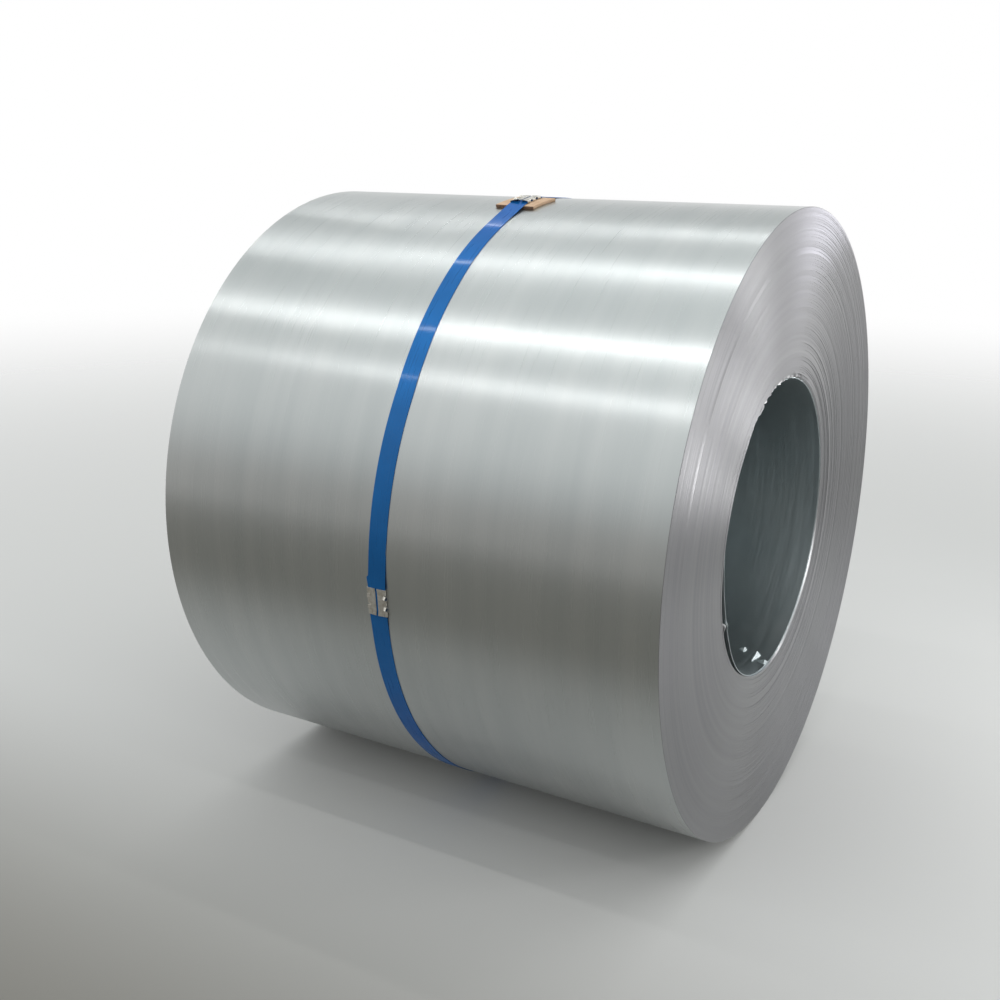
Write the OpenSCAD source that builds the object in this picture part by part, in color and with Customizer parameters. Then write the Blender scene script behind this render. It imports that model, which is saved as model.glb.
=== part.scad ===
// Coil of cold-rolled steel strip, lying with its eye level.
// Two lengths of painted strapping run round it and are joined by two notched seals.
// The joint on top lies on a curved board pad.
// The origin is on the axis of the eye, midway along the outermost turn. +X runs along the axis.

/* [Coil] */
// Outside diameter of the coil
coil_d = 1064; // [800:1:1500]
// Diameter of the eye, the bore that a mandrel goes into
eye_d = 508; // [400:1:620]
// Width of the strip, and so of every turn
strip_w = 900; // [300:1:1500]
// How far the innermost turn has slipped along the axis
slip = 12; // [0:0.5:30]
// Radial width of one band of turns that slipped together
band_w = 6; // [4:0.5:12]
// Width of the line that shows between two bands
line_w = 1.2; // [0.4:0.1:2]
// Depth of the line that shows between two bands
line_depth = 0.8; // [0.2:0.1:2]
// How unevenly the bands next to the eye end
stagger = 1.6; // [0:0.1:4]

/* [Strap] */
// Width of the strapping
strap_w = 32; // [16:1:40]
// Thickness of the strapping
strap_t = 0.9; // [0.5:0.1:1.3]
// Place of the strap along the axis
strap_x = -13; // [-120:1:120]
// Length of the strap end that shows beyond the front seal
front_tail_l = 16; // [4:1:16]
// Length of the strap end behind the top seal
top_tail_l = 8; // [4:1:12]

/* [Seals] */
// Length of a seal along the strap
seal_l = 45; // [38:1:60]
// Thickness of the sheet that a seal is folded from
seal_t = 0.9; // [0.6:0.1:1.3]
// Outer radius of a seal's folds
fold_r = 1.6; // [1.4:0.1:2]
// Gap between the two flaps of a seal
seam_w = 1.5; // [0.5:0.1:4]
// Distance between the two notches on one edge of a seal
notch_pitch = 18; // [14:1:22]
// Width of a notch at the edge of the seal
notch_mouth = 9; // [6:0.5:11]
// Width of a notch at its inner end
notch_end = 5; // [3:0.5:6]
// Depth of a notch, which is also the length of the tab that is bent out of it
notch_depth = 6; // [3:0.5:9]
// How far a tab is bent out of the flap, in degrees
tab_angle = 38; // [10:1:60]
// Angle of the front seal above the level of the axis, in degrees
front_angle = -5.7; // [-20:0.1:10]
// Angle of the top seal above the level of the axis, in degrees
top_angle = 80.5; // [70:0.1:100]

/* [Pad] */
// How far the pad reaches beyond each end of the seal on it
pad_margin = 13; // [13:1:40]
// Width of the pad along the axis
pad_w = 75; // [45:1:120]
// Thickness of the pad
pad_t = 5; // [2:0.5:8]
// How far the pad is turned out of line with the axis, in degrees
pad_turn = -4; // [-8:1:8]

/* [Clearances] */
// Gap between pieces that lie on each other
seat_gap = 0.15; // [0.12:0.01:0.3]
// Gap between the edge of the strap and the fold of a seal
edge_gap = 0.5; // [0.3:0.05:0.8]

/* [Hidden] */
coil_r = coil_d / 2;
eye_r = eye_d / 2;
bands = floor((coil_r - eye_r) / band_w);
band_step = (coil_r - eye_r) / bands;
golden_angle = 137.5;

seal_w = strap_w + 2 * (edge_gap + seal_t);
seal_h = 2 * (seal_t + strap_t) + 3 * seat_gap;
lead = 1;
straight_half = seal_l / 2 + lead;
end_inset = 2;
through = 4 * seal_h;

strap_bed_r = coil_r + seat_gap;
pad_top_r = strap_bed_r + pad_t;
pad_l = seal_l + 2 * pad_margin;
pad_reach = pad_l / 2 + strap_w / 2 * abs(tan(pad_turn)) + lead;
pad_half_angle = pad_reach / pad_top_r * 180 / PI;
arc_step = 2;
fold_step = 22.5;

function polar(r, a) = [r * cos(a), r * sin(a)];
function turned(p, a) = [p.x * cos(a) - p.y * sin(a), p.x * sin(a) + p.y * cos(a)];
function unit(v) = v / norm(v);
function reversed(list) = [for (i = [len(list) - 1:-1:0]) list[i]];
function arc(centre, r, from, to, step) =
    let (n = ceil(abs(to - from) / step))
    [for (i = [0:n]) centre + polar(r, from + (to - from) * i / n)];

// Coil

// Share of the way from the eye to the outside, at the middle of a band
function share(i) = (i + 0.5) / bands;

// Place of a band along the axis: the turns slip evenly, and those at the eye are uneven too
function shift(i) =
    -slip * (1 - share(i)) + stagger * pow(1 - share(i), 3) * sin(golden_angle * i);

// One end of the coil from the eye outwards: flat lands with a V-shaped line between them
function coil_end(side) = [
    for (i = [0:bands - 1])
        let (
            inner = eye_r + i * band_step,
            land = side * strip_w / 2 + shift(i),
            next = side * strip_w / 2 + shift(min(i + 1, bands - 1)),
            line = side > 0 ? min(land, next) - line_depth : max(land, next) + line_depth
        )
        each [
            [inner + (i == 0 ? 0 : line_w / 2), land],
            [inner + band_step - (i == bands - 1 ? 0 : line_w / 2), land],
            if (i < bands - 1) [inner + band_step, line]
        ]
];

module coil() {
    color("silver")
        rotate([0, 90, 0])
            rotate_extrude($fn = 180)
                polygon(concat(coil_end(-1), reversed(coil_end(1))));
}

// Strap and seals are drawn in the plane across the axis, with angle 0 to the front and 90 up

module in_strap_plane() {
    translate([strap_x, 0, 0]) rotate([90, 0, -90]) children();
}

// Distance from the axis to the under-face of each strap in a seal that lies on radius bed_r
function lower_d(bed_r) = bed_r + 2 * seat_gap + seal_t;
function upper_d(bed_r) = lower_d(bed_r) + strap_t + seat_gap;

// Point on a strap that runs straight through a seal: d from the axis, s along the strap
function in_seal(angle, d, s) = turned([d, s], angle);

// Angle between a point outside the bed and the place where a straight strap from it meets the bed
function lift_off(p) = acos(strap_bed_r / norm(p));

// Outward normal at point i of a strap's under-face
function normal_at(path, i) =
    let (
        before = i > 0 ? unit(path[i] - path[i - 1]) : [0, 0],
        after = i < len(path) - 1 ? unit(path[i + 1] - path[i]) : [0, 0],
        along = unit(before + after)
    )
    [along.y, -along.x];

// End of a strap that lies under the other one beyond a seal, from the ramp of the upper one
function tail_end(seal_edge, ramp_foot, length) =
    let (along = unit(ramp_foot - seal_edge), inward = [-along.y, along.x])
    seal_edge + along * length + (strap_t + seat_gap) * inward;

// Straps leave the bed straight, so these angles are where they lift off it
front_up = in_seal(front_angle, upper_d(coil_r), straight_half);
front_up_foot = atan2(front_up.y, front_up.x) + lift_off(front_up);
front_down = in_seal(front_angle, lower_d(coil_r), -straight_half);
front_down_foot = atan2(front_down.y, front_down.x) - lift_off(front_down);
pad_front = polar(pad_top_r + seat_gap, top_angle - pad_half_angle);
pad_back = polar(pad_top_r + seat_gap, top_angle + pad_half_angle);
pad_front_foot = top_angle - pad_half_angle - lift_off(pad_front);
pad_back_foot = top_angle + pad_half_angle + lift_off(pad_back);
top_back = in_seal(top_angle, upper_d(pad_top_r), straight_half);

// Under-face of the front length, from inside the front seal up to its tail behind the top seal
front_path = concat(
    [in_seal(front_angle, upper_d(coil_r), end_inset - seal_l / 2), front_up],
    arc([0, 0], strap_bed_r, front_up_foot, pad_front_foot, arc_step),
    [
        pad_front,
        in_seal(top_angle, lower_d(pad_top_r), -straight_half),
        in_seal(top_angle, lower_d(pad_top_r), straight_half),
        tail_end(top_back, pad_back, top_tail_l)
    ]
);

// Under-face of the back length, from inside the top seal round to its tail above the front seal
back_path = concat(
    [in_seal(top_angle, upper_d(pad_top_r), end_inset - seal_l / 2), top_back, pad_back],
    arc([0, 0], strap_bed_r, pad_back_foot, front_down_foot + 360, arc_step),
    [
        front_down,
        in_seal(front_angle, lower_d(coil_r), straight_half),
        tail_end(front_up, polar(strap_bed_r, front_up_foot), front_tail_l)
    ]
);

module strap_band(path) {
    outer = [for (i = [0:len(path) - 1]) path[i] + strap_t * normal_at(path, i)];
    linear_extrude(strap_w, center = true) polygon(concat(path, reversed(outer)));
}

module strap(path) {
    color("royalblue")
        in_strap_plane()
            difference() {
                strap_band(path);
                at_seal(front_angle, coil_r) notches();
                at_seal(top_angle, pad_top_r) notches();
            }
}

module strap_front() {
    strap(front_path);
}

module strap_back() {
    strap(back_path);
}

// Puts a seal's own frame on the strap: X along the axis, Y outwards, Z along the strap
module at_seal(angle, bed_r) {
    rotate([0, 0, angle]) translate([bed_r + seat_gap, 0, 0]) rotate([0, -90, -90]) children();
}

// Four edge cuts that go through the seal and both straps
module notches() {
    for (side = [-1, 1], s = [-1, 1])
        translate([side * seal_w / 2, 0, s * notch_pitch / 2])
            rotate([-90, 0, 0])
                linear_extrude(through, center = true)
                    polygon([
                        [side, -notch_mouth / 2],
                        [side, notch_mouth / 2],
                        [-side * notch_depth, notch_end / 2],
                        [-side * notch_depth, -notch_end / 2]
                    ]);
}

// Tabs that the notching tool cut loose and bent out, each still joined at the inner end of its notch
module tabs() {
    tip = notch_mouth - 2 * seal_t;
    for (side = [-1, 1], s = [-1, 1])
        translate([side * (seal_w / 2 - notch_depth), seal_h - seal_t, s * notch_pitch / 2])
            rotate([0, 0, side * tab_angle])
                rotate([-90, 0, 0])
                    linear_extrude(seal_t)
                        polygon([
                            [0, -notch_end / 2],
                            [side * notch_depth, -tip / 2],
                            [side * notch_depth, tip / 2],
                            [0, notch_end / 2]
                        ]);
}

// Section across a seal: a strip folded round both straps, with its two edges meeting on top
function seal_section() =
    let (
        x = seal_w / 2 - fold_r,
        inner_r = fold_r - seal_t,
        outside = concat(
            [[seam_w / 2, seal_h]],
            arc([x, seal_h - fold_r], fold_r, 90, 0, fold_step),
            arc([x, fold_r], fold_r, 0, -90, fold_step)
        ),
        inside = concat(
            arc([x, fold_r], inner_r, -90, 0, fold_step),
            arc([x, seal_h - fold_r], inner_r, 0, 90, fold_step),
            [[seam_w / 2, seal_h - seal_t]]
        )
    )
    concat(
        outside,
        [for (p = reversed(outside)) [-p.x, p.y]],
        [for (p = reversed(inside)) [-p.x, p.y]],
        inside
    );

module seal(angle, bed_r) {
    color("gainsboro")
        in_strap_plane()
            at_seal(angle, bed_r) {
                difference() {
                    linear_extrude(seal_l, center = true) polygon(seal_section());
                    notches();
                }
                tabs();
            }
}

module front_seal() {
    seal(front_angle, coil_r);
}

module top_seal() {
    seal(top_angle, pad_top_r);
}

// Pad

// Board bent to the coil and cut square, a little out of line with the strap
module top_pad() {
    bent = 2 * pad_half_angle + pad_w / coil_r * 180 / PI;
    color("burlywood")
        in_strap_plane()
            rotate([0, 0, top_angle])
                intersection() {
                    rotate([0, 0, -bent / 2])
                        rotate_extrude(angle = bent, $fn = 180)
                            translate([strap_bed_r, -pad_w])
                                square([pad_t, 2 * pad_w]);
                    translate([coil_r, 0, 0])
                        rotate([pad_turn, 0, 0])
                            cube([4 * pad_t, pad_l, pad_w], center = true);
                }
}

coil();
strap_front();
strap_back();
front_seal();
top_seal();
top_pad();
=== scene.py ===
import math
from collections import namedtuple

import bmesh
import bpy
import numpy as np
from mathutils import Matrix, Vector


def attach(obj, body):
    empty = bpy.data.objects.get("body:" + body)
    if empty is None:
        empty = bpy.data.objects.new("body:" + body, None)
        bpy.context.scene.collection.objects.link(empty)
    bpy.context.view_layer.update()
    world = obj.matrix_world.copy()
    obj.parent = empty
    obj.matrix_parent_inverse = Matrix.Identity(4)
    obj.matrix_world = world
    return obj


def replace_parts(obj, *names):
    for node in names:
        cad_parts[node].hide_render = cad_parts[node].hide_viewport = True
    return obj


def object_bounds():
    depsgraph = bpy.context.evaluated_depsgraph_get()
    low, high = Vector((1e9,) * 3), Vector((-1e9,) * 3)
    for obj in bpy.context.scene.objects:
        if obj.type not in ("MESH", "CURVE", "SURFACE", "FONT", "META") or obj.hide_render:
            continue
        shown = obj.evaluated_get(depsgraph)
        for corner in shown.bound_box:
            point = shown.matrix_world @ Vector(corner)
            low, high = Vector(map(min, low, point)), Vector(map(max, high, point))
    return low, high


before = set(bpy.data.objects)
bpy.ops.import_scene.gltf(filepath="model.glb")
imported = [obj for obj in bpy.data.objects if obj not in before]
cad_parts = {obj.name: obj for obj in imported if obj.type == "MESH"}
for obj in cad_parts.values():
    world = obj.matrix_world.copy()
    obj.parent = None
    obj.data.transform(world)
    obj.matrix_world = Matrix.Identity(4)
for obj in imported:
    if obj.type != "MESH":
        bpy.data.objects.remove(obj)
cad_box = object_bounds()

MM = 0.001
TAU = 2 * math.pi

# Sizes in millimetres, the same as in the part's source.
COIL_R = 532.0
EYE_R = 254.0
STRIP_W = 900.0
SLIP = 12.0
STRAP_W = 32.0
STRAP_T = 0.9
STRAP_X = -13.0
FRONT_TAIL_L = 16.0
TOP_TAIL_L = 8.0
SEAL_L = 45.0
SEAL_T = 0.9
EDGE_GAP = 0.5
NOTCH_PITCH = 18.0
NOTCH_MOUTH = 9.0
NOTCH_END = 5.0
NOTCH_DEPTH = 6.0
FRONT_ANGLE = -5.7
TOP_ANGLE = 80.5
PAD_MARGIN = 13.0
PAD_W = 75.0
PAD_T = 5.0
PAD_TURN = -4.0
SEAT_GAP = 0.15

SEAL_W = STRAP_W + 2 * (SEAL_T + EDGE_GAP)
STRAP_BED_R = COIL_R + SEAT_GAP
PAD_TOP_R = STRAP_BED_R + PAD_T
PAD_L = SEAL_L + 2 * PAD_MARGIN
LEAD = 1.0
STRAIGHT_HALF = SEAL_L / 2 + LEAD
END_INSET = 2.0


def node(tree, kind, inputs=None, **settings):
    """A shader node with its settings and its inputs: numbers, colours or other nodes' outputs."""
    made = tree.nodes.new(kind)
    for key, value in settings.items():
        setattr(made, key, value)
    for key, value in (inputs or {}).items():
        if isinstance(value, bpy.types.NodeSocket):
            tree.links.new(value, made.inputs[key])
        else:
            made.inputs[key].default_value = value
    return made


def math_node(tree, operation, a, b=0.0):
    return node(tree, "ShaderNodeMath", {0: a, 1: b}, operation=operation).outputs[0]


def weighed(tree, first, first_share, second, second_share):
    """The sum of two values, each times its share."""
    parts = [
        math_node(tree, "MULTIPLY", value, share)
        for value, share in ((first, first_share), (second, second_share))
    ]
    return math_node(tree, "ADD", *parts)


def length_of(tree, a, b):
    """The length of a flat vector with the parts a and b."""
    squares = [math_node(tree, "POWER", part, 2.0) for part in (a, b)]
    return math_node(tree, "SQRT", math_node(tree, "ADD", *squares))


def spread(tree, value, low, high, start=0.3, end=0.7):
    """value from start..end carried to low..high."""
    inputs = {"Value": value, "From Min": start, "From Max": end, "To Min": low, "To Max": high}
    return node(tree, "ShaderNodeMapRange", inputs).outputs[0]


def gentle(tree, value, start, end):
    """0 up to start and 1 from end, with a soft change between."""
    inputs = {"Value": value, "From Min": start, "From Max": end}
    return node(tree, "ShaderNodeMapRange", inputs, interpolation_type="SMOOTHSTEP").outputs[0]


def two_colours(tree, factor, first, second):
    made = node(tree, "ShaderNodeMix", data_type="RGBA")
    sockets = (made.inputs[0], made.inputs[6], made.inputs[7])
    for socket, value in zip(sockets, (factor, first, second)):
        if isinstance(value, bpy.types.NodeSocket):
            tree.links.new(value, socket)
        else:
            socket.default_value = value if isinstance(value, float) else (*value, 1.0)
    return made.outputs[2]


def noise(tree, coords, scale, stretch=(1, 1, 1), detail=3.0, rough=0.5):
    moved = node(tree, "ShaderNodeMapping", {"Vector": coords, "Scale": stretch})
    inputs = {"Vector": moved.outputs[0], "Scale": scale, "Detail": detail, "Roughness": rough}
    return node(tree, "ShaderNodeTexNoise", inputs).outputs[0]


def new_material(name):
    """A material, its node tree, its shader and the piece's own coordinates in metres."""
    material = bpy.data.materials.new(name)
    material.use_nodes = True
    tree = material.node_tree
    shader = next(n for n in tree.nodes if n.type == "BSDF_PRINCIPLED")
    coords = node(tree, "ShaderNodeTexCoord").outputs["Object"]
    return material, tree, shader, coords


def bump(tree, shader, height, distance, strength):
    made = node(tree, "ShaderNodeBump", {"Height": height, "Distance": distance, "Strength": strength})
    tree.links.new(made.outputs[0], shader.inputs["Normal"])


def across_the_turns(tree, shader, amount):
    """Brushed steel: its shine spreads across the rolling marks, which run round the coil."""
    shader.inputs["Anisotropic"].default_value = amount
    quarter_turn = 0.25
    shader.inputs["Anisotropic Rotation"].default_value = quarter_turn
    tangent = node(tree, "ShaderNodeTangent", direction_type="RADIAL", axis="X")
    tree.links.new(tangent.outputs[0], shader.inputs["Tangent"])


def steel_side():
    """The strip's rolled face, with fine marks that run round the coil."""
    material, tree, shader, coords = new_material("rolled_steel")
    marks = noise(tree, coords, 1.0, (900, 4, 4), 4.0, 0.6)
    bands = noise(tree, coords, 1.0, (26, 1.5, 1.5), 3.0)
    cloud = noise(tree, coords, 3.2, detail=4.0)
    tone = weighed(tree, bands, 0.6, cloud, 0.4)
    colour = two_colours(tree, spread(tree, tone, 0.0, 1.0), (0.50, 0.525, 0.525), (0.585, 0.60, 0.595))
    fine = two_colours(tree, spread(tree, marks, 0.0, 0.12), colour, (0.47, 0.48, 0.475))
    tree.links.new(fine, shader.inputs["Base Color"])
    shader.inputs["Metallic"].default_value = 1.0
    tree.links.new(spread(tree, marks, 0.27, 0.30), shader.inputs["Roughness"])
    across_the_turns(tree, shader, 0.8)
    bump(tree, shader, marks, 0.0002, 0.008)
    return material


def steel_edges():
    """The ends, where each turn shows as a thin line at its own radius."""
    material, tree, shader, coords = new_material("strip_edges")
    parts = node(tree, "ShaderNodeSeparateXYZ", {0: coords}).outputs
    radius = length_of(tree, parts[1], parts[2])
    flat = node(tree, "ShaderNodeCombineXYZ", {0: radius, 1: parts[1], 2: parts[2]}).outputs[0]
    turns = noise(tree, flat, 1.0, (620, 0.8, 0.8), 4.0, 0.65)
    groups = noise(tree, flat, 1.0, (75, 0.8, 0.8), 3.0)
    cloud = noise(tree, coords, 5.0, detail=3.0)
    tone = weighed(tree, turns, 0.5, groups, 0.5)
    # The ends are darker than the side: partly the cut edges' own duller colour, partly painted shade for
    # the gaps between turns.
    colour = two_colours(tree, spread(tree, tone, 0.0, 1.0), (0.24, 0.24, 0.25), (0.325, 0.325, 0.33))
    soft = two_colours(tree, spread(tree, cloud, 0.0, 0.25), colour, (0.285, 0.275, 0.30))
    # Lightens the ends towards bare steel: partly torn bare metal, partly painted glints and a painted
    # highlight on the eye's rim.
    burr = node(tree, "ShaderNodeAttribute", attribute_name="burr").outputs["Fac"]
    tree.links.new(two_colours(tree, burr, soft, (0.80, 0.81, 0.81)), shader.inputs["Base Color"])
    shader.inputs["Metallic"].default_value = 1.0
    tree.links.new(spread(tree, turns, 0.30, 0.42), shader.inputs["Roughness"])
    across_the_turns(tree, shader, 0.75)
    bump(tree, shader, turns, 0.0005, 0.12)
    return material


def steel_bore():
    """The face of the innermost turn, cooler and duller than the outside."""
    material, tree, shader, coords = new_material("bore_steel")
    marks = noise(tree, coords, 1.0, (300, 6, 6), 3.0, 0.6)
    cloud = noise(tree, coords, 6.0, detail=4.0)
    colour = two_colours(tree, spread(tree, cloud, 0.0, 1.0), (0.46, 0.51, 0.525), (0.56, 0.60, 0.605))
    tree.links.new(colour, shader.inputs["Base Color"])
    shader.inputs["Metallic"].default_value = 1.0
    tree.links.new(spread(tree, marks, 0.30, 0.42), shader.inputs["Roughness"])
    bump(tree, shader, marks, 0.0002, 0.15)
    return material


def strap_paint():
    """Blue lacquer on bright steel, glossy, and rubbed through here and there along the edges."""
    material, tree, shader, coords = new_material("blue_strap_paint")
    edge = node(tree, "ShaderNodeAttribute", attribute_name="edge").outputs["Fac"]
    cloud = noise(tree, coords, 14.0, detail=4.0)
    rubs = noise(tree, coords, 120.0, (1, 0.25, 0.25), 4.0, 0.65)
    scuffs = noise(tree, coords, 420.0, (1, 0.04, 0.04), 2.0)
    paint = two_colours(tree, spread(tree, cloud, 0.0, 1.0), (0.006, 0.112, 0.345), (0.010, 0.142, 0.425))
    dulled = two_colours(tree, spread(tree, scuffs, 0.0, 0.12, 0.55, 0.8), paint, (0.05, 0.16, 0.36))
    along = spread(tree, edge, 0.0, 1.0, 0.6, 1.0)
    worn = math_node(tree, "MULTIPLY", along, spread(tree, rubs, 0.0, 1.0, 0.58, 0.64))
    tree.links.new(two_colours(tree, worn, dulled, (0.20, 0.22, 0.25)), shader.inputs["Base Color"])
    shader.inputs["Metallic"].default_value = 0.5
    shader.inputs["Specular IOR Level"].default_value = 0.0
    shader.inputs["Specular Tint"].default_value = (0.12, 0.42, 0.95, 1.0)
    tree.links.new(spread(tree, scuffs, 0.26, 0.36), shader.inputs["Roughness"])
    shader.inputs["Coat Weight"].default_value = 0.5
    shader.inputs["Coat Roughness"].default_value = 0.08
    bump(tree, shader, cloud, 0.0004, 0.1)
    return material


def seal_zinc():
    """Zinc-coated sheet, a little mottled and scratched."""
    material, tree, shader, coords = new_material("zinc_seal")
    spangle = noise(tree, coords, 160.0, detail=2.0)
    scratch = noise(tree, coords, 1.0, (900, 90, 90), 3.0)
    colour = two_colours(tree, spread(tree, spangle, 0.0, 1.0), (0.53, 0.50, 0.44), (0.74, 0.72, 0.68))
    tree.links.new(colour, shader.inputs["Base Color"])
    shader.inputs["Metallic"].default_value = 1.0
    tree.links.new(spread(tree, scratch, 0.26, 0.46), shader.inputs["Roughness"])
    bump(tree, shader, scratch, 0.0001, 0.25)
    return material


def pad_board():
    """Tan fibre board, layered where it is cut, its cut ends darkened partly by painted shade."""
    material, tree, shader, coords = new_material("fibre_board")
    cut = node(tree, "ShaderNodeAttribute", attribute_name="cut").outputs["Fac"]
    fibres = noise(tree, coords, 1.0, (220, 900, 900), 4.0, 0.65)
    cloud = noise(tree, coords, 40.0, detail=4.0)
    layers = noise(tree, coords, 1.0, (60, 300, 1500), 2.0)
    face = two_colours(tree, spread(tree, cloud, 0.0, 1.0), (0.56, 0.37, 0.235), (0.72, 0.52, 0.36))
    fibre = two_colours(tree, spread(tree, fibres, 0.0, 0.5), face, (0.45, 0.28, 0.17))
    # The cut ends: layered board, made darker with painted shade.
    cut_ends_and_shade = two_colours(tree, spread(tree, layers, 0.0, 1.0), (0.10, 0.055, 0.035), (0.26, 0.155, 0.10))
    tree.links.new(two_colours(tree, cut, fibre, cut_ends_and_shade), shader.inputs["Base Color"])
    shader.inputs["Roughness"].default_value = 0.85
    bump(tree, shader, fibres, 0.0004, 0.5)
    return material


def grid_quads(rows, columns, rows_closed=True, columns_closed=True):
    """Quads over a grid of points that may close on itself either way."""
    r, c = np.meshgrid(
        np.arange(rows if rows_closed else rows - 1),
        np.arange(columns if columns_closed else columns - 1),
        indexing="ij",
    )
    r2 = (r + 1) % rows
    c2 = (c + 1) % columns
    corners = [r * columns + c, r * columns + c2, r2 * columns + c2, r2 * columns + c]
    return np.stack(corners, -1).reshape(-1, 4)


def rim_of(rows, columns):
    """The outer points of an open grid, in order round it."""
    rim = list(range(columns))
    rim += [i * columns + columns - 1 for i in range(1, rows)]
    rim += [(rows - 1) * columns + j for j in range(columns - 2, -1, -1)]
    rim += [i * columns for i in range(rows - 2, 0, -1)]
    return rim


def enclosed_volume(points, faces):
    """Six times the volume inside, below zero where the faces look inward."""
    total = 0.0
    for k in range(1, len(faces[0]) - 1):
        a, b, c = points[faces[:, 0]], points[faces[:, k]], points[faces[:, k + 1]]
        total += np.einsum("ij,ij->i", a, np.cross(b, c)).sum()
    return total


def add_piece(
    name, points, quads, materials, caps=(), which=None, marks=None, crease=28.0, normals=None
):
    """A closed piece of the object, its points in millimetres and its faces turned outward."""
    points = np.asarray(points, float)
    quads = np.asarray(quads)
    faces = quads.tolist() + [list(c) for c in caps]
    if enclosed_volume(points - points.mean(0), quads) < 0:
        faces = [f[::-1] for f in faces]
    mesh = bpy.data.meshes.new(name)
    mesh.from_pydata((points * MM).tolist(), [], faces)
    for material in materials:
        mesh.materials.append(material)
    if which is not None:
        mesh.polygons.foreach_set("material_index", np.asarray(which, np.int32))
    for key, values in (marks or {}).items():
        mark = mesh.attributes.new(key, "FLOAT", "POINT")
        mark.data.foreach_set("value", np.asarray(values, np.float32))
    mesh.shade_smooth()
    mesh.set_sharp_from_angle(angle=math.radians(crease))
    if normals is not None:
        mesh.normals_split_custom_set(normals.tolist())
    mesh.update()
    piece = bpy.data.objects.new(name, mesh)
    bpy.context.collection.objects.link(piece)
    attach(piece, "root")
    return piece


def smooth_step(value, start, end):
    """0 up to start and 1 from end, with a soft change between."""
    t = np.clip((value - start) / (end - start), 0.0, 1.0)
    return t * t * (3 - 2 * t)


def hump(angle, centre, half):
    """1 at centre, falling smoothly to 0 at half either side, in degrees round the circle."""
    away = np.abs((angle - centre + 180) % 360 - 180)
    return 1 - smooth_step(away, 0.0, half)


def ragged(angle, pitch, rng):
    """Uneven teeth round the circle, about one to each pitch of degrees, from 0 to 1."""
    spacing = 0.4 + 1.2 * rng.random(int(360 / pitch))
    knots = np.cumsum(pitch * spacing)
    heights = rng.random(len(knots)) ** 1.4
    return np.interp(angle, knots * 360 / knots[-1], heights, period=360)


# The coil's finishes, in the order of its materials.
SIDE, EDGES, BORE = 0, 1, 2

# The ends: bands of turns that slid together, each a little out of line.
BAND_COUNT = 62
BAND_UNEVEN = 0.8
BAND_STEP = 0.06
SLIP_SPREAD = 0.03
EYE_SLIP_SPREAD = 0.2
MOST_SLIP = SLIP + 0.4
LEAST_SLIP = 0.2
EDGE_LEAN = 0.16
LEAN_SPREAD = 0.03
EDGE_ROUND = 0.8
EDGE_ROUND_R = 0.7
SIDE_STATIONS = (300.0, 150.0, 0.0, -150.0, -300.0)

# The eye's edge: nicked turns at its top, a loosened first turn at its lower front. Angles in degrees.
LOOSE_R = 274.0
LOOSE_CENTRE = -25.0
LOOSE_HALF = 46.0
LOOSE_GAP = 7.5
LOOSE_SHARES = (0.3, 0.55, 0.78, 1.0)
TURN_GAP = 0.05
NICK_CENTRE = 80.0
NICK_HALF = 36.0
NICK_PITCH = 1.3
NICK_DEPTH = 7.0
NICK_REACH = 0.9
TORN_PITCH = 1.5
TORN_DEPTH = 2.2
# Where the torn nicks are lightened: partly bare metal, partly painted glints.
TORN_BRIGHT = (0.2, 0.5)
PINCH_ANGLE = -22.0
PINCH_HALF = 2.6
PINCH_RISE = 2.5
# How far the pinch is lightened: a painted glint.
PINCH_BRIGHT = 1.8
CHAMFER = 2.6
CRISP_CHAMFER = 0.8
LEAST_CHAMFER = 0.4
CRISP_CENTRE = -75.0
CRISP_HALF = 35.0
# A painted highlight along the eye's chamfer, low at the far side: how strong, where and how wide.
PAINTED_RIM = 0.8
PAINTED_RIM_CENTRE = -140.0
PAINTED_RIM_HALF = 66.0
GAP_FOOT = 90.0
FAR_BORE_FOOT = 60.0

# The innermost turn, whose own end lies across the bore.
FIRST_TURN_T = 1.6
FIRST_TURN_START = -94.0
FIRST_TURN_RISE = 0.9
FIRST_TURN_LEAST_T = 0.5
FIRST_SUNK = CHAMFER + 0.5
FIRST_PROUD = 3.0
FIRST_FAR_SUNK = 6.0
FIRST_NICK_PITCH = 1.4
FIRST_NICK_DEPTH = 6.0
LUG_HALF = 2.0
LUG_RISE = 2.0
LIP_EASE = 0.3
FIRST_TURN_GAP = 0.4
FREE_R = EYE_R + FIRST_TURN_T + FIRST_TURN_GAP

Row = namedtuple("Row", "radius x finish lean burr")
Band = namedtuple("Band", "inner outer slip teeth lean")
Dent = namedtuple("Dent", "x angle height above below ahead behind")

# Dents that stand up from the innermost turn, and how far each slopes off up, down, out and in.
DENTS = [
    Dent(383.0, -99.8, 6.5, 9.0, 9.0, 5.0, 13.0),
    Dent(409.0, -98.0, 8.0, 34.0, 8.0, 7.0, 8.0),
    Dent(430.0, -92.6, 7.0, 8.0, 12.0, 12.0, 14.0),
]


def slip_at(radius):
    """How far the turns at a radius have slid along the axis."""
    return -SLIP * (1 - (radius - EYE_R) / (COIL_R - EYE_R))


def loose_at(degrees):
    """1 where the first turn stands clear of the others, 0 where it lies against them."""
    return hump(degrees, LOOSE_CENTRE, LOOSE_HALF)


def nicked_at(degrees):
    """1 where the turns at the eye are nicked most, 0 where they are whole."""
    return np.sqrt(hump(degrees, NICK_CENTRE, NICK_HALF))


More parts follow.
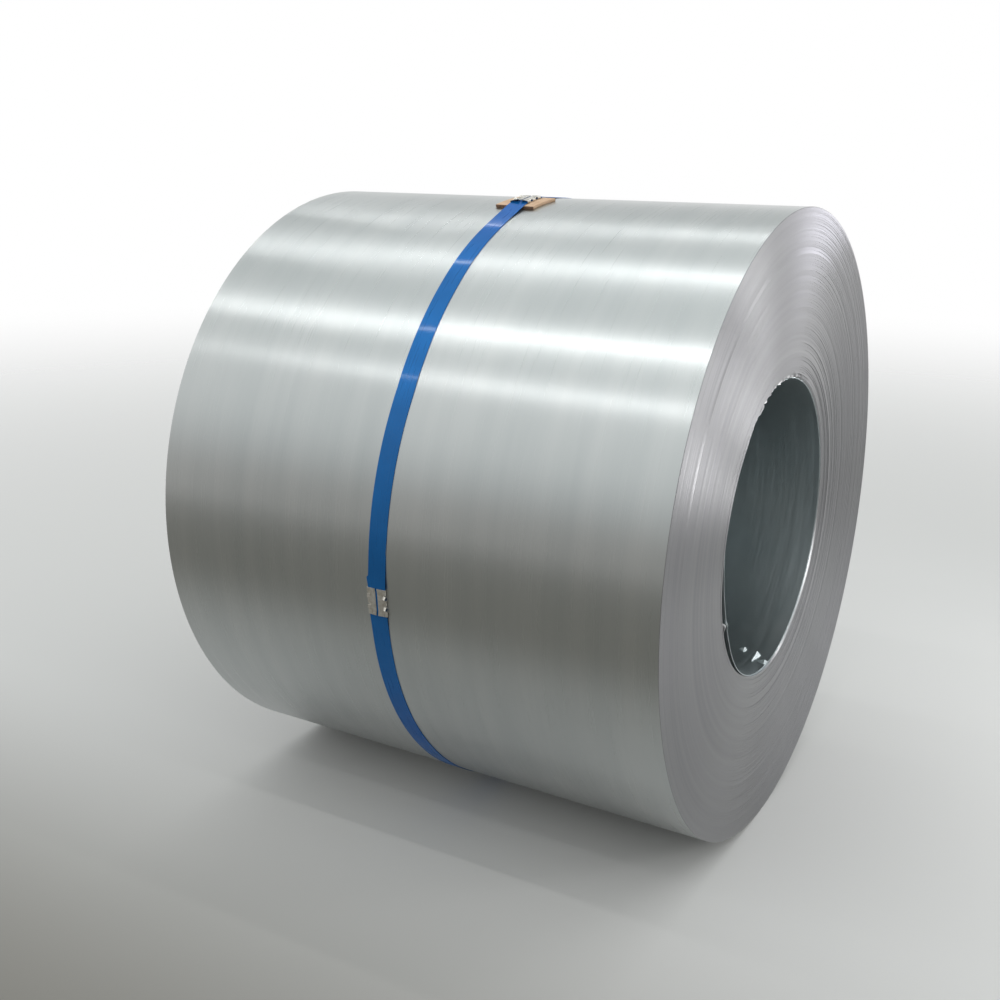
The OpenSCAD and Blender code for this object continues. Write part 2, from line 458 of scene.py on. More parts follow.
class Lathe:
    """A closed ring built row by row from its section.

    Each row has its radius and its place along the axis, one value or one for each column.
    """

    def __init__(self, columns):
        self.degrees = np.arange(columns) * 360.0 / columns
        self.rows = []

    def row(self, radius, x, finish, lean=None, burr=0.0):
        """Adds a row, with the finish from it to the next.

        lean is the end that the finish faces and how far its shine leans out.
        The last argument lightens the row's colour: partly bare torn metal, partly painted glints and a
        painted highlight.
        """
        radius, x, burr = (np.broadcast_to(v, self.degrees.shape) for v in (radius, x, burr))
        self.rows.append(Row(radius, x, finish, lean, burr))

    def build(self, name, materials):
        angle = np.radians(self.degrees)
        r = np.array([row.radius for row in self.rows])
        x = np.array([row.x for row in self.rows])
        points = np.stack([x, -r * np.cos(angle), r * np.sin(angle)], -1).reshape(-1, 3)
        columns = len(angle)
        out = np.stack([0 * angle, -np.cos(angle), np.sin(angle)], -1)
        corners = np.stack([out, np.roll(out, -1, 0), np.roll(out, -1, 0), out], 1)
        normals = np.zeros((len(r), columns, 4, 3))
        for k, row in enumerate(self.rows):
            if row.lean:
                end, amount = row.lean
                leaned = np.array([end, 0.0, 0.0]) + amount * corners
                normals[k] = leaned / np.linalg.norm(leaned, axis=-1, keepdims=True)
        return add_piece(
            name,
            points,
            grid_quads(len(r), columns),
            materials,
            which=np.repeat([row.finish for row in self.rows], columns),
            marks={"burr": np.concatenate([row.burr for row in self.rows])},
            normals=normals.reshape(-1, 3),
        )


def end_bands(edges, degrees, rng, nicks):
    """The bands between edges, each with its slip, its nicks and how far its shine leans out."""
    bands = []
    angle = np.radians(degrees)
    for k, (inner, outer) in enumerate(zip(edges, edges[1:])):
        depth = 1 - (np.mean(inner) - EYE_R) / (COIL_R - EYE_R)
        slip = slip_at(inner) + SLIP_SPREAD * rng.standard_normal()
        askew = rng.standard_normal() + np.sin(angle + TAU * rng.random())
        slip = np.clip(slip + depth**3 * EYE_SLIP_SPREAD * askew, -MOST_SLIP, -LEAST_SLIP)
        teeth = nicks * nicked_at(degrees) * ragged(degrees, NICK_PITCH, rng) * math.exp(-k / NICK_REACH)
        bands.append(Band(inner, outer, slip, teeth, EDGE_LEAN + LEAN_SPREAD * rng.standard_normal()))
    return bands


def wound_turns(materials):
    """The turns from the loosened ones outward, a little uneven at both ends."""
    rng = np.random.default_rng(11)
    lathe = Lathe(320)
    widths = 1 + BAND_UNEVEN * (rng.random(BAND_COUNT) - 0.5)
    edges = LOOSE_R + (COIL_R - LOOSE_R) * np.concatenate([[0], np.cumsum(widths)]) / widths.sum()
    bands = end_bands(edges, lathe.degrees, rng, 0.0)
    half = STRIP_W / 2
    rounded_r = COIL_R - EDGE_ROUND_R
    for band in bands:
        lathe.row(band.inner, half + band.slip, EDGES, (1, band.lean))
        lathe.row(min(band.outer, rounded_r), half + band.slip - BAND_STEP, EDGES)
    lathe.row(COIL_R, half + bands[-1].slip - EDGE_ROUND, SIDE)
    for x in SIDE_STATIONS:
        lathe.row(COIL_R, x, SIDE)
    lathe.row(COIL_R, EDGE_ROUND - half + bands[-1].slip, EDGES)
    for band in reversed(bands):
        lathe.row(min(band.outer, rounded_r), band.slip + BAND_STEP - half, EDGES, (-1, band.lean))
        lathe.row(band.inner, band.slip - half, EDGES)
    return lathe.build("coil_turns", materials)


def loose_turns(materials):
    """The turns next to the first, nicked at the top and sprung clear of the first low in front."""
    rng = np.random.default_rng(31)
    lathe = Lathe(720)
    degrees = lathe.degrees
    loose = loose_at(degrees)
    pinch = hump(degrees, PINCH_ANGLE, PINCH_HALF)
    bore = FREE_R + LOOSE_GAP * loose * (1 - pinch)
    crisp = np.maximum(loose, hump(degrees, CRISP_CENTRE, CRISP_HALF))
    chamfer = CHAMFER * (1 - crisp) + CRISP_CHAMFER * crisp
    torn = nicked_at(degrees) * ragged(degrees, TORN_PITCH, rng)
    # A painted highlight along the rim, low at the far side.
    painted_rim = PAINTED_RIM * hump(degrees, PAINTED_RIM_CENTRE, PAINTED_RIM_HALF)
    # The pinch is lightened with a painted glint.
    pinch_glint = np.minimum(1.0, PINCH_BRIGHT * pinch)
    # The chamfer's colour is lightened by a painted rim highlight, a painted pinch glint, and the torn
    # nicks' bare metal with painted glints.
    bright = np.maximum.reduce([smooth_step(torn, *TORN_BRIGHT), painted_rim, pinch_glint])
    foot = bore + chamfer
    outer_r = LOOSE_R - TURN_GAP
    edges = [foot - np.minimum(TORN_DEPTH * torn, chamfer - LEAST_CHAMFER)]
    for share in LOOSE_SHARES:
        edges.append(foot + (outer_r - foot) * share)
    bands = end_bands(edges, degrees, rng, NICK_DEPTH)
    far_edges = np.linspace(FREE_R + CRISP_CHAMFER, outer_r, 5)
    far_bands = end_bands(far_edges, degrees, rng, 0.0)
    half = STRIP_W / 2
    rim = half + bands[0].slip - bands[0].teeth + PINCH_RISE * pinch
    lathe.row(bore, rim - chamfer, EDGES, burr=bright)
    for k, band in enumerate(bands):
        raised = PINCH_RISE * pinch if k == 0 else 0.0
        burr = bright - painted_rim if k == 0 else 0.0
        place = half + band.slip - band.teeth + raised
        lathe.row(band.inner, place, EDGES, (1, band.lean), burr)
        lathe.row(band.outer, place - BAND_STEP, EDGES)
    for band in reversed(far_bands):
        lathe.row(band.outer, band.slip + BAND_STEP - half, EDGES, (-1, band.lean))
        lathe.row(band.inner, band.slip - half, EDGES)
    lathe.row(FREE_R, far_bands[0].slip + CRISP_CHAMFER - half, BORE)
    lathe.row(FREE_R, FAR_BORE_FOOT - half, BORE)
    lathe.row(bore, half - GAP_FOOT, BORE)
    return lathe.build("coil_loose_turns", materials)


def first_turn(materials):
    """The innermost turn, with the strip's own end across the bore and the dents beside it."""
    rng = np.random.default_rng(23)
    columns = 721
    share = np.arange(columns) / (columns - 1)
    degrees = FIRST_TURN_START + 360 * share
    angle = np.radians(degrees)
    loose = loose_at(degrees)
    inner = EYE_R + FIRST_TURN_RISE * share
    outer = np.maximum(EYE_R + FIRST_TURN_T, inner + FIRST_TURN_LEAST_T)
    sunk = FIRST_SUNK * (1 - loose) - FIRST_PROUD * loose
    nicks = nicked_at(degrees) * ragged(degrees, FIRST_NICK_PITCH, rng) * FIRST_NICK_DEPTH
    lug = LUG_RISE * hump(degrees, PINCH_ANGLE, LUG_HALF)
    end_x = STRIP_W / 2 - SLIP - sunk - nicks + lug
    far_x = -STRIP_W / 2 - SLIP + FIRST_FAR_SUNK + 0 * share
    rows_r, rows_x = [], []
    for k, back in enumerate([0.0, 0.6, 2.0, *range(4, 70, 2), 80.0, 120.0, 300.0, 600.0]):
        x = end_x - back
        lift = 0 * share
        for dent in DENTS:
            away = np.radians((degrees - dent.angle + 180) % 360 - 180) * EYE_R
            away = np.where(away > 0, away / dent.above, -away / dent.below)
            along = np.where(x > dent.x, (x - dent.x) / dent.ahead, (dent.x - x) / dent.behind)
            lift = lift + dent.height * np.clip(1 - away - along, 0, 1)
        rows_r.append(inner + (LIP_EASE if k == 0 else 0.0) - lift)
        rows_x.append(x)
    rows_r += [inner, outer, outer]
    rows_x += [far_x, far_x, end_x]
    r = np.array(rows_r)
    x = np.array(rows_x)
    points = np.stack([x, -r * np.cos(angle), r * np.sin(angle)], -1).reshape(-1, 3)
    return add_piece(
        "coil_first_turn", points, grid_quads(len(r), columns), materials, crease=20.0
    )


def turned(along, across, degrees):
    """A point in the coil's section, forward and up, turned up from the front by degrees."""
    a = math.radians(degrees)
    cos, sin = math.cos(a), math.sin(a)
    return np.array([along * cos - across * sin, along * sin + across * cos])


def lower_d(bed):
    """The underside of the lower strap in a seal on a bed, from the coil's axis."""
    return bed + 2 * SEAT_GAP + SEAL_T


def upper_d(bed):
    """The underside of the upper strap."""
    return lower_d(bed) + STRAP_T + SEAT_GAP


def lift_off(point):
    """Degrees from a point above the coil to where a straight run from it meets the bed."""
    return math.degrees(math.acos(STRAP_BED_R / np.linalg.norm(point)))


def bearing(point):
    """Degrees up from the front to a point in the coil's section."""
    return math.degrees(math.atan2(point[1], point[0]))


def tail_end(seal_edge, ramp_foot, length):
    """A point on a loose end, length past the seal, under the strap that runs down to the coil."""
    along = (ramp_foot - seal_edge) / np.linalg.norm(ramp_foot - seal_edge)
    inward = np.array([-along[1], along[0]])
    return seal_edge + along * length + (STRAP_T + SEAT_GAP) * inward


def arc(start, end, step=0.5):
    """Points on the coil's face from one angle to another."""
    count = max(2, int(abs(end - start) / step) + 1)
    return [turned(STRAP_BED_R, 0, a) for a in np.linspace(start, end, count)]


def through_seal(angle, d, start, end):
    """A straight run under a seal, with a station at each corner of the notches."""
    half = STRAP_W / 2
    narrow = SEAL_W / 2 - NOTCH_DEPTH
    flare = NOTCH_END / 2 + (NOTCH_MOUTH - NOTCH_END) / 2 * (half - narrow) / NOTCH_DEPTH
    stations = [(start, half), (end, half)]
    base = NOTCH_END / 2
    notch = [(-flare, half), (-base, narrow), (base, narrow), (flare, half)]
    for side in (-1, 1):
        for along, width in notch:
            stations.append((side * NOTCH_PITCH / 2 + along, width))
    return [(turned(d, s, angle), width) for s, width in sorted(stations)]


def plain(points):
    """Stations at the strap's full width."""
    return [(np.asarray(p), STRAP_W / 2) for p in points]


front_up = turned(upper_d(COIL_R), STRAIGHT_HALF, FRONT_ANGLE)
front_up_foot = bearing(front_up) + lift_off(front_up)
front_down = turned(lower_d(COIL_R), -STRAIGHT_HALF, FRONT_ANGLE)
front_down_foot = bearing(front_down) - lift_off(front_down)
pad_reach = PAD_L / 2 + STRAP_W / 2 * abs(math.tan(math.radians(PAD_TURN))) + LEAD
pad_half_angle = math.degrees(pad_reach / PAD_TOP_R)
pad_front = turned(PAD_TOP_R + SEAT_GAP, 0, TOP_ANGLE - pad_half_angle)
pad_back = turned(PAD_TOP_R + SEAT_GAP, 0, TOP_ANGLE + pad_half_angle)
pad_front_foot = TOP_ANGLE - pad_half_angle - lift_off(pad_front)
pad_back_foot = TOP_ANGLE + pad_half_angle + lift_off(pad_back)
top_back = turned(upper_d(PAD_TOP_R), STRAIGHT_HALF, TOP_ANGLE)

# Where the strap wanders along the axis, as a hand-laid one does: degrees, then millimetres.
DRIFT = [
    (-180, -1.0),
    (-90, -5.5),
    (-32, -5.5),
    (-21, -4.0),
    (-13, -2.0),
    (FRONT_ANGLE, 0.0),
    (0, 0.5),
    (10, 2.5),
    (20, 5.0),
    (30, 8.0),
    (50, 7.0),
    (66, 4.5),
    (75, 1.5),
    (TOP_ANGLE, 0.0),
    (110, 0.0),
    (180, -1.0),
]
TOP_TAIL_DRIFT = [0.0] * 5
FRONT_TAIL_DRIFT = [-0.6, -3.0, -3.4, -3.6, -3.8]
STRAP_EASE = 0.22
STRAP_RUB = 2.5

# A loose end's rounded corners: shares of their length from the tip, and what each side loses there.
TAIL_START = 1.0
CORNER_L = 4.0
CORNER = [(1.0, 0.0), (0.4, 0.9), (0.12, 2.2), (0.0, 4.2)]


def strap(name, stations, tail_drift, material):
    """A painted steel strap along its stations, its edges eased, drifting a little as it goes."""
    path = np.array([p for p, _ in stations])
    half = np.array([w for _, w in stations])
    ahead = np.gradient(path, axis=0)
    ahead /= np.linalg.norm(ahead, axis=1)[:, None]
    out = np.stack([ahead[:, 1], -ahead[:, 0]], 1)
    drift = np.interp([bearing(p) for p in path], *zip(*DRIFT))
    drift[-len(tail_drift) :] = tail_drift
    right = [
        (1, -STRAP_RUB, STRAP_T, 0.0),
        (1, -STRAP_EASE, STRAP_T, 0.8),
        (1, 0, STRAP_T - STRAP_EASE, 1.0),
        (1, 0, STRAP_EASE, 1.0),
        (1, -STRAP_EASE, 0, 0.8),
    ]
    ring = right + [(-side, inset, height, edge) for side, inset, height, edge in reversed(right)]
    points = []
    for p, n, w, d in zip(path, out, half, drift):
        for side, inset, height, _ in ring:
            u, v = p + n * height
            points.append((STRAP_X + d + side * (w + inset), -u, v))
    around = len(ring)
    last = (len(path) - 1) * around
    return add_piece(
        name,
        points,
        grid_quads(len(path), around, rows_closed=False),
        [material],
        caps=[range(around), range(last + around - 1, last - 1, -1)],
        marks={"edge": np.tile([edge for _, _, _, edge in ring], len(path))},
        crease=35.0,
    )


def rounded_end(edge, ramp_foot, length):
    """Stations of a loose end beyond a seal, its corners clipped round."""
    tip = tail_end(edge, ramp_foot, length)
    root = tail_end(edge, ramp_foot, TAIL_START)
    stations = [(root, STRAP_W / 2)]
    for share, cut in CORNER:
        stations.append((root + (tip - root) * (1 - share * CORNER_L / length), STRAP_W / 2 - cut))
    return stations


def straps(material):
    """The two lengths of strap, each outermost in one seal and innermost in the other."""
    front = through_seal(FRONT_ANGLE, upper_d(COIL_R), END_INSET - SEAL_L / 2, STRAIGHT_HALF)
    front += plain(arc(front_up_foot, pad_front_foot))
    front += plain([pad_front])
    front += through_seal(TOP_ANGLE, lower_d(PAD_TOP_R), -STRAIGHT_HALF, STRAIGHT_HALF)
    front += rounded_end(top_back, pad_back, TOP_TAIL_L)
    back = through_seal(TOP_ANGLE, upper_d(PAD_TOP_R), END_INSET - SEAL_L / 2, STRAIGHT_HALF)
    back += plain([pad_back])
    back += plain(arc(pad_back_foot, front_down_foot + 360))
    back += through_seal(FRONT_ANGLE, lower_d(COIL_R), -STRAIGHT_HALF, STRAIGHT_HALF)
    back += rounded_end(front_up, turned(STRAP_BED_R, 0, front_up_foot), FRONT_TAIL_L)
    front_run = strap("strap_front_run", front, TOP_TAIL_DRIFT, material)
    back_run = strap("strap_back_run", back, FRONT_TAIL_DRIFT, material)
    return front_run, back_run


# The pad's eased edges, its rough cut ends and the points along each of its sides.
PAD_EASE = 0.35
PAD_ROUGH = 0.6
PAD_GRID = 41


def pad(material):
    """The board bent over the coil under the top seal, its edges eased and its cut ends rough."""
    rng = np.random.default_rng(5)
    middle = math.radians(TOP_ANGLE)
    turn = math.radians(PAD_TURN)
    heights = (0.0, PAD_EASE, PAD_T - PAD_EASE, PAD_T)
    top = len(heights) - 1
    shares = np.linspace(-1, 1, PAD_GRID)
    points, cut = [], []
    for layer, height in enumerate(heights):
        inset = PAD_EASE if layer in (0, top) else 0.0
        radius = STRAP_BED_R + height
        for s in shares:
            for w in shares:
                along = s * (PAD_L / 2 - inset)
                across = w * (PAD_W / 2 - inset)
                if abs(s) == 1:
                    along -= s * PAD_ROUGH * rng.random()
                run = along * math.cos(turn) - across * math.sin(turn)
                side = along * math.sin(turn) + across * math.cos(turn)
                bend = math.asin(run / PAD_TOP_R) + middle
                points.append((STRAP_X - side, -radius * math.cos(bend), radius * math.sin(bend)))
                cut.append(1.0 if abs(s) == 1 and 0 < layer < top else 0.0)
    per = PAD_GRID**2
    sheet = grid_quads(PAD_GRID, PAD_GRID, False, False)
    quads = np.roll(sheet[:, ::-1], 1, axis=1).tolist() + (sheet + top * per).tolist()
    rim = rim_of(PAD_GRID, PAD_GRID)
    for start in range(0, top * per, per):
        for a, b in zip(rim, rim[1:] + rim[:1]):
            quads.append([start + a, start + b, start + per + b, start + per + a])
    used = sorted({v for q in quads for v in q})
    index = {v: n for n, v in enumerate(used)}
    quads = [[index[v] for v in q] for q in quads]
    return add_piece(
        "pad_board",
        [points[v] for v in used],
        quads,
        [material],
        marks={"cut": [cut[v] for v in used]},
        crease=50.0,
    )


# The folded sheet, the cutters of its notches and the tongues that they leave.
SEAL_H = 2 * SEAL_T + 2 * STRAP_T + 3 * SEAT_GAP
FOLD_R = 1.6
SEAM_W = 3.4
FLARE_L = 8.0
FLARE_SIDE = 6.0
SEAL_EASE = 0.18
CUT_PAST = 1.0
CUT_BELOW = 2.0
CUT_ABOVE = 4.0
SEAL_CREASE = 35.0
SEAL_EASE_ANGLE = 40.0
TAB_ROOT = 0.6
TAB_STEPS = 13
TAB_ACROSS = 5
TAB_BENT = 0.3
TAB_LEVELLED = (0.35, 0.9)
TAB_TWISTED = 0.7

# A seal's tongues: the side and end of each, its rise, the share levelled again, and its twist.
Tab = namedtuple("Tab", "side end rise level twist")
FRONT_TABS = [
    Tab(-1, -1, 24, 1.0, 44),
    Tab(-1, 1, 22, 1.0, 46),
    Tab(1, -1, 36, 0.3, -12),
    Tab(1, 1, 34, 0.5, 10),
]
TOP_TABS = [
    Tab(-1, -1, 30, 0.8, -30),
    Tab(-1, 1, 34, 0.6, -24),
    Tab(1, -1, 32, 0.6, -26),
    Tab(1, 1, 34, 0.4, -18),
]
FRONT_FLARES = (1.5, 0.8)
TOP_FLARES = (3.2, 0.8)


def seal_section():
    """The folded sheet's outline across the strap, from the seam round and back."""
    half = SEAL_W / 2
    corners = [(half - FOLD_R, SEAL_H - FOLD_R, 90), (half - FOLD_R, FOLD_R, 0)]
    corners += [(FOLD_R - half, FOLD_R, -90), (FOLD_R - half, SEAL_H - FOLD_R, -180)]
    outline = []
    for inward in (0.0, SEAL_T):
        side = [(SEAM_W / 2, SEAL_H - inward)]
        for x, y, start in corners:
            for turn in np.radians(np.linspace(start, start - 90, 7)):
                radius = FOLD_R - inward
                side.append((x + radius * math.cos(turn), y + radius * math.sin(turn)))
        side.append((-SEAM_W / 2, SEAL_H - inward))
        outline += side if inward == 0 else side[::-1]
    return np.array(outline)


def solid(name, points, faces):
    """A plain working solid, its points in millimetres."""
    mesh = bpy.data.meshes.new(name)
    mesh.from_pydata((np.asarray(points, float) * MM).tolist(), [], [list(f) for f in faces])
    made = bpy.data.objects.new(name, mesh)
    bpy.context.collection.objects.link(made)
    return made


def outward(mesh):
    """Turns a closed mesh's faces outward."""
    shell = bmesh.new()
    shell.from_mesh(mesh)
    bmesh.ops.recalc_face_normals(shell, faces=shell.faces[:])
    shell.to_mesh(mesh)
    shell.free()


def notch_points(side, end):
    """The corners of a wedge that cuts one notch through both flaps and the strap's edge."""
    outer = side * (SEAL_W / 2 + CUT_PAST)
    inner = side * (SEAL_W / 2 - NOTCH_DEPTH)
    mouth = NOTCH_MOUTH / 2 + CUT_PAST * (NOTCH_MOUTH - NOTCH_END) / 2 / NOTCH_DEPTH
    shape = [(outer, -mouth), (outer, mouth), (inner, NOTCH_END / 2), (inner, -NOTCH_END / 2)]
    centre = end * NOTCH_PITCH / 2
    return [(x, y, centre + z) for y in (-CUT_BELOW, SEAL_H + CUT_ABOVE) for x, z in shape]


def tab_points(tab):
    """A tongue of the sheet left by a notch: bent up, levelled again by a share, and twisted."""
    root = tab.side * (SEAL_W / 2 - NOTCH_DEPTH - TAB_ROOT)
    place = np.array([root, SEAL_H - SEAL_T, tab.end * NOTCH_PITCH / 2])
    along_strap = np.array([0.0, 0.0, 1.0])
    layers = [[], []]
    for k in range(TAB_STEPS):
        share = k / (TAB_STEPS - 1)
        levelled = 1 - tab.level * smooth_step(share, *TAB_LEVELLED)
        lift = math.radians(tab.rise) * smooth_step(share, 0.0, TAB_BENT) * levelled
        turn = math.radians(tab.twist) * smooth_step(share, 0.0, TAB_TWISTED)
        run = np.array([tab.side * math.cos(lift), math.sin(lift), 0.0])
        face = np.array([-tab.side * math.sin(lift), math.cos(lift), 0.0])
        wide = math.cos(turn) * along_strap - math.sin(turn) * face
        proud = math.cos(turn) * face + math.sin(turn) * along_strap
        half = NOTCH_END / 2 + (NOTCH_MOUTH / 2 - SEAL_T - NOTCH_END / 2) * share
        if k:
            place = place + run * NOTCH_DEPTH / (TAB_STEPS - 1)
        for w in np.linspace(-half, half, TAB_ACROSS):
            layers[0].append(place + wide * w)
            layers[1].append(place + wide * w + proud * SEAL_T)
    return layers[0] + layers[1]


def tab_faces():
    """Faces of a tongue: its two sides, then its edge."""
    per = TAB_STEPS * TAB_ACROSS
    sheet = grid_quads(TAB_STEPS, TAB_ACROSS, False, False)
    faces = sheet.tolist() + (per + np.roll(sheet[:, ::-1], 1, axis=1)).tolist()
    rim = rim_of(TAB_STEPS, TAB_ACROSS)
    for a, b in zip(rim, rim[1:] + rim[:1]):
        faces.append((b, a, per + a, per + b))
    return faces


def folded_sheet(name, flares):
    """The sleeve before it is notched, its flaps lifted a little at each end."""
    section = seal_section()
    stations = np.linspace(-SEAL_L / 2, SEAL_L / 2, 19)
    count = len(section)
    points = []
    for z in stations:
        open_end = flares[int(z > 0)] * smooth_step(abs(z), SEAL_L / 2 - FLARE_L, SEAL_L / 2)
        for x, y in section:
            upper = smooth_step(y, SEAL_H / 2, SEAL_H - SEAL_T)
            inboard = smooth_step(SEAL_W / 2 - abs(x), 0.0, FLARE_SIDE)
            points.append((x, y + open_end * upper * inboard, z))
    faces = grid_quads(len(stations), count, rows_closed=False).tolist()
    faces += [range(count)[::-1], range((len(stations) - 1) * count, len(stations) * count)]
    return solid(name + "_blank", points, faces)


def notched(blank):
    """The mesh of a sleeve once its notches are cut; the sleeve and the cutters go."""
    hexahedron = [(0, 1, 2, 3), (7, 6, 5, 4), (0, 4, 5, 1), (1, 5, 6, 2), (2, 6, 7, 3), (3, 7, 4, 0)]
    cutters = []
    for side in (-1, 1):
        for end in (-1, 1):
            cutter = solid("notch", notch_points(side, end), hexahedron)
            outward(cutter.data)
            cut = blank.modifiers.new("notch", "BOOLEAN")
            cut.operation = "DIFFERENCE"
            cut.solver = "EXACT"
            cut.object = cutter
            cutters.append(cutter)
    outward(blank.data)
    ready = blank.evaluated_get(bpy.context.evaluated_depsgraph_get())
    mesh = bpy.data.meshes.new_from_object(ready)
    for spare in [blank, *cutters]:
        bpy.data.objects.remove(spare)
    return mesh


def seal(name, angle, bed, flares, tabs, material):
    """A sheet steel sleeve folded round both strap ends, notched through twice a side."""
    mesh = notched(folded_sheet(name, flares))
    joined = bmesh.new()
    joined.from_mesh(mesh)
    for tab in tabs:
        made = [joined.verts.new(np.asarray(c) * MM) for c in tab_points(tab)]
        new_faces = [joined.faces.new([made[v] for v in f]) for f in tab_faces()]
        bmesh.ops.recalc_face_normals(joined, faces=new_faces)
    for vert in joined.verts:
        x, y, z = vert.co / MM
        u, v = turned(bed + SEAT_GAP + y, z, angle)
        vert.co = Vector((STRAP_X - x, -u, v)) * MM
    if joined.calc_volume(signed=True) < 0:
        bmesh.ops.reverse_faces(joined, faces=joined.faces[:])
    joined.to_mesh(mesh)
    joined.free()
    mesh.name = name
    mesh.materials.clear()
    mesh.materials.append(material)
    mesh.shade_smooth()
    mesh.set_sharp_from_angle(angle=math.radians(SEAL_CREASE))
    piece = bpy.data.objects.new(name, mesh)
    bpy.context.collection.objects.link(piece)
    ease = piece.modifiers.new("ease", "BEVEL")
    ease.width = SEAL_EASE * MM
    ease.segments = 2
    ease.limit_method = "ANGLE"
    ease.angle_limit = math.radians(SEAL_EASE_ANGLE)
    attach(piece, "root")
    return piece


# The photograph's viewpoint: degrees, metres and millimetres of lens.
CAMERA_YAW = 30.1309
CAMERA_PITCH = 16.0626
CAMERA_ROLL = 0.7173
CAMERA_PLACE = (1.018749, -1.940517, 0.610725)
CAMERA_LENS = 43.663
CAMERA_SENSOR = 36.0

# The stage, in metres.
STRIP_LAMP_Z = 3.0
STRIP_LAMP_L = 6.0
PANEL_SIZE = 0.3
PANEL_AWAY = 1.5
FLOOR_HALF = 14.0
FLOOR_FRONT = (-1.2, -0.25)
FLOOR_FADE = (1.0, 7.5)
BEHIND = (-0.502, 0.865, 0.0)


def aim(obj, place, forward, right):
    """Stands obj at place, in metres, looking along forward."""
    up = right.cross(forward)
    turn = Matrix((right, up, -forward)).transposed()
    obj.matrix_world = Matrix.Translation(place) @ turn.to_4x4()


def camera():
    """At the photograph's viewpoint."""
    yaw, pitch, roll = (math.radians(v) for v in (CAMERA_YAW, CAMERA_PITCH, CAMERA_ROLL))
    ahead = Vector((-math.sin(yaw), math.cos(yaw), 0.0))
    forward = math.cos(pitch) * ahead - Vector((0.0, 0.0, math.sin(pitch)))
    level = Vector((math.cos(yaw), math.sin(yaw), 0.0))
    right = math.cos(roll) * level + math.sin(roll) * level.cross(forward)
    data = bpy.data.cameras.new("camera")
    data.sensor_fit = "HORIZONTAL"
    data.sensor_width = CAMERA_SENSOR
    data.lens = CAMERA_LENS
    data.clip_end = 100.0
    eye = bpy.data.objects.new("camera", data)
    bpy.context.collection.objects.link(eye)
    aim(eye, Vector(CAMERA_PLACE), forward, right)
    bpy.context.scene.camera = eye


def lamp(name, length, width, radiance, colour=(1.0, 1.0, 1.0)):
    """A soft lamp of an even brightness, out of the camera's sight."""
    data = bpy.data.lights.new(name, "AREA")
    data.shape = "RECTANGLE"
    data.size = length
    data.size_y = width
    data.color = colour
    data.energy = radiance * math.pi * length * width
    made = bpy.data.objects.new(name, data)
    bpy.context.collection.objects.link(made)
    made.visible_camera = False
    return made


def strip_light(name, y, width, radiance):
    """A long lamp overhead, parallel to the coil's axis."""
    made = lamp(name, STRIP_LAMP_L, width, radiance)
    forward = Vector((0.0, -y, -STRIP_LAMP_Z)).normalized()
    aim(made, Vector((0.0, y, STRIP_LAMP_Z)), forward, Vector((1.0, 0.0, 0.0)))


def panel_light(name, degrees, z, radiance, colour=(1.0, 1.0, 1.0)):
    """A small lamp off to the right, turned to the coil's near end."""
    made = lamp(name, PANEL_SIZE, PANEL_SIZE, radiance, colour)
    turn = math.radians(degrees)
    end = Vector((STRIP_W / 2 * MM, 0.0, 0.0))
    place = end + Vector((PANEL_AWAY * math.sin(turn), PANEL_AWAY * math.cos(turn), z))
    forward = (end - place).normalized()
    aim(made, place, forward, forward.cross(Vector((0.0, 0.0, 1.0))).normalized())


def ramp(tree, value, stops):
    """A colour that changes with value, through stops of a place and a colour."""
    made = node(tree, "ShaderNodeValToRGB", {0: value})
    for k, (place, colour) in enumerate(stops):
        stop = made.color_ramp.elements[k] if k < 2 else made.color_ramp.elements.new(place)
        stop.position = place
        stop.color = (*colour, 1.0)
    return made.outputs[0]


def studio():
    """Soft light all round: bright above, white behind the coil, dimmer low in front of it."""
    world = bpy.data.worlds.new("studio")
    bpy.context.scene.world = world
    world.use_nodes = True
    tree = world.node_tree
    background = next(n for n in tree.nodes if n.type == "BACKGROUND")
    look = node(tree, "ShaderNodeTexCoord").outputs["Generated"]
    height = node(tree, "ShaderNodeSeparateXYZ", {0: look}).outputs[2]
    behind = node(tree, "ShaderNodeVectorMath", {0: look, 1: BEHIND}, operation="DOT_PRODUCT")
    front_sky = [
        (0.00, (0.42, 0.415, 0.40)),
        (0.10, (0.47, 0.47, 0.46)),
        (0.22, (0.62, 0.64, 0.64)),
        (0.38, (0.84, 0.87, 0.87)),
        (0.58, (0.97, 1.0, 1.0)),
        (1.00, (0.95, 1.0, 1.0)),
    ]
    back_sky = [
        (0.00, (1.0, 1.0, 1.0)),
        (0.16, (1.0, 1.0, 1.0)),
        (0.34, (0.74, 0.76, 0.76)),
        (0.60, (0.66, 0.69, 0.69)),
        (0.85, (0.88, 0.92, 0.92)),
        (1.00, (0.95, 1.0, 1.0)),
    ]
    side = spread(tree, behind.outputs["Value"], 0.0, 1.0, -0.35, 0.45)
    sky = two_colours(tree, side, ramp(tree, height, front_sky), ramp(tree, height, back_sky))
    tree.links.new(sky, background.inputs["Color"])
    background.inputs["Strength"].default_value = 1.0


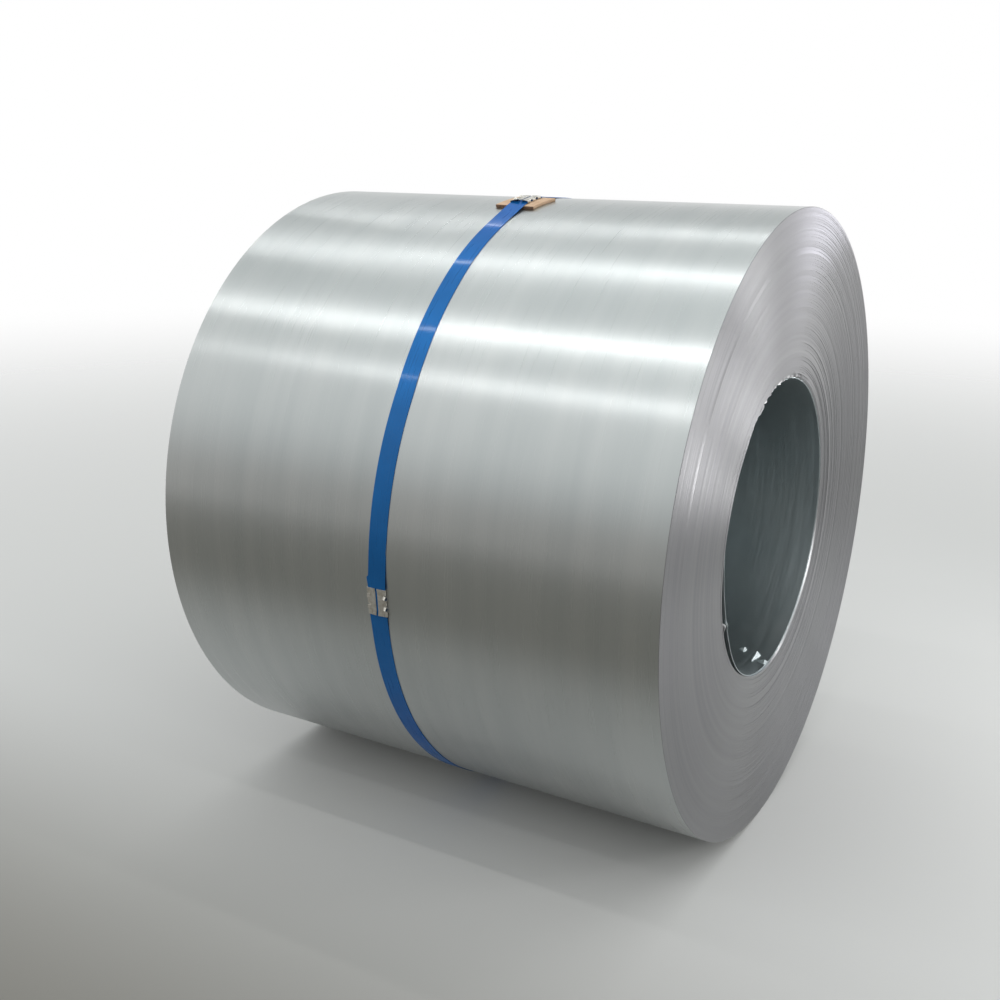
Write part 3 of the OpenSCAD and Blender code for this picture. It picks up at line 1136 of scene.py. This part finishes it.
def floor():
    """A floor, pale, with painted shade making it greyer in front, that fades into the backdrop far away.
    """
    top = cad_box[0][2]
    mesh = bpy.data.meshes.new("floor")
    corners = [(x * FLOOR_HALF, y * FLOOR_HALF, top) for x, y in ((-1, -1), (1, -1), (1, 1), (-1, 1))]
    mesh.from_pydata(corners, [], [(0, 1, 2, 3)])
    ground = bpy.data.objects.new("floor", mesh)
    bpy.context.collection.objects.link(ground)
    material, tree, shader, coords = new_material("floor")
    parts = node(tree, "ShaderNodeSeparateXYZ", {0: coords}).outputs
    away = length_of(tree, parts[0], parts[1])
    # Painted shade: the floor's colour is darker in front of the coil.
    front = gentle(tree, parts[1], *FLOOR_FRONT)
    colour = two_colours(tree, front, (0.21, 0.20, 0.18), (0.60, 0.595, 0.585))
    tree.links.new(colour, shader.inputs["Base Color"])
    shader.inputs["Roughness"].default_value = 0.9
    shader.inputs["Specular IOR Level"].default_value = 0.2
    fade = gentle(tree, away, *FLOOR_FADE)
    tree.links.new(math_node(tree, "SUBTRACT", 1.0, fade), shader.inputs["Alpha"])
    mesh.materials.append(material)


camera()
steel = [steel_side(), steel_edges(), steel_bore()]
paint = strap_paint()
zinc = seal_zinc()
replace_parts(wound_turns(steel), "coil")
loose_turns(steel)
first_turn([steel[BORE]])
front_run, back_run = straps(paint)
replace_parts(front_run, "strap_front")
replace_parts(back_run, "strap_back")
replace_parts(pad(pad_board()), "top_pad")
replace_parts(seal("seal_front", FRONT_ANGLE, COIL_R, FRONT_FLARES, FRONT_TABS, zinc), "front_seal")
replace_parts(seal("seal_top", TOP_ANGLE, PAD_TOP_R, TOP_FLARES, TOP_TABS, zinc), "top_seal")
floor()
studio()
strip_light("strip_1", -2.60, 0.06, 7.5)
strip_light("strip_2", -1.25, 0.06, 11.8)
strip_light("strip_3", 0.44, 0.06, 10.5)
strip_light("strip_4", 2.07, 0.045, 12.0)
panel_light("panel_1", 75.0, 0.1, 15.0)
panel_light("panel_2", 40.0, 0.1, 4.7)
panel_light("panel_3", 40.0, 0.6, 4.0)
panel_light("panel_4", 10.0, 0.6, 2.4, (0.90, 0.89, 1.0))
bpy.context.scene.view_settings.view_transform = "Standard"
